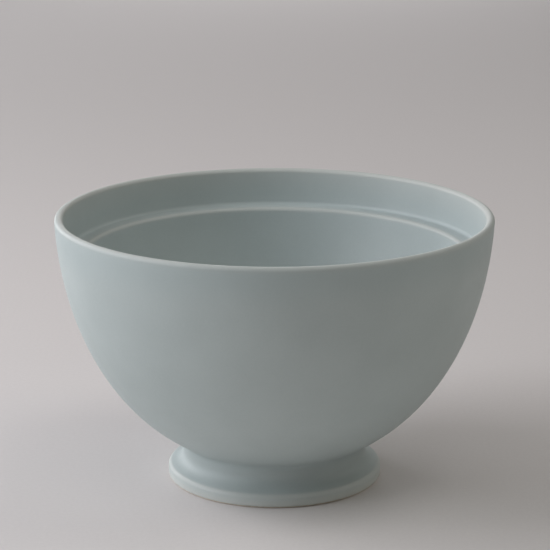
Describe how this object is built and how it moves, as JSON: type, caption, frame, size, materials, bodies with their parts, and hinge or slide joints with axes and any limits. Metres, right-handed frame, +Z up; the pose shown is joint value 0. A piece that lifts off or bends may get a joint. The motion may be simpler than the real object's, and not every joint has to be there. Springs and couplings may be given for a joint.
{
  "type": "latte bowl",
  "caption": "Deep round ceramic drinking bowl with an inner ledge below the rim, on a low hollow flared foot, in a satin glaze.",
  "frame": {"origin": "on the table, at the middle of the standing ring", "axes": "+Z up along the bowl's axis of turning; the bowl is round, so +X and +Y are any two directions on the table"},
  "size_m": [0.13, 0.13, 0.081],
  "materials": {
    "fired_clay": "bare fired stoneware, matt",
    "fired_slip": "bare fired slip, matt",
    "satin_glaze": "pale blue grey satin glaze"
  },
  "bodies": {
    "root": {"bowl_body": "fired_clay", "pedestal_foot": "fired_clay", "luting_slip": "fired_slip", "glaze_coat": "satin_glaze", "underside_glaze": "satin_glaze"}
  },
  "joints": []
}
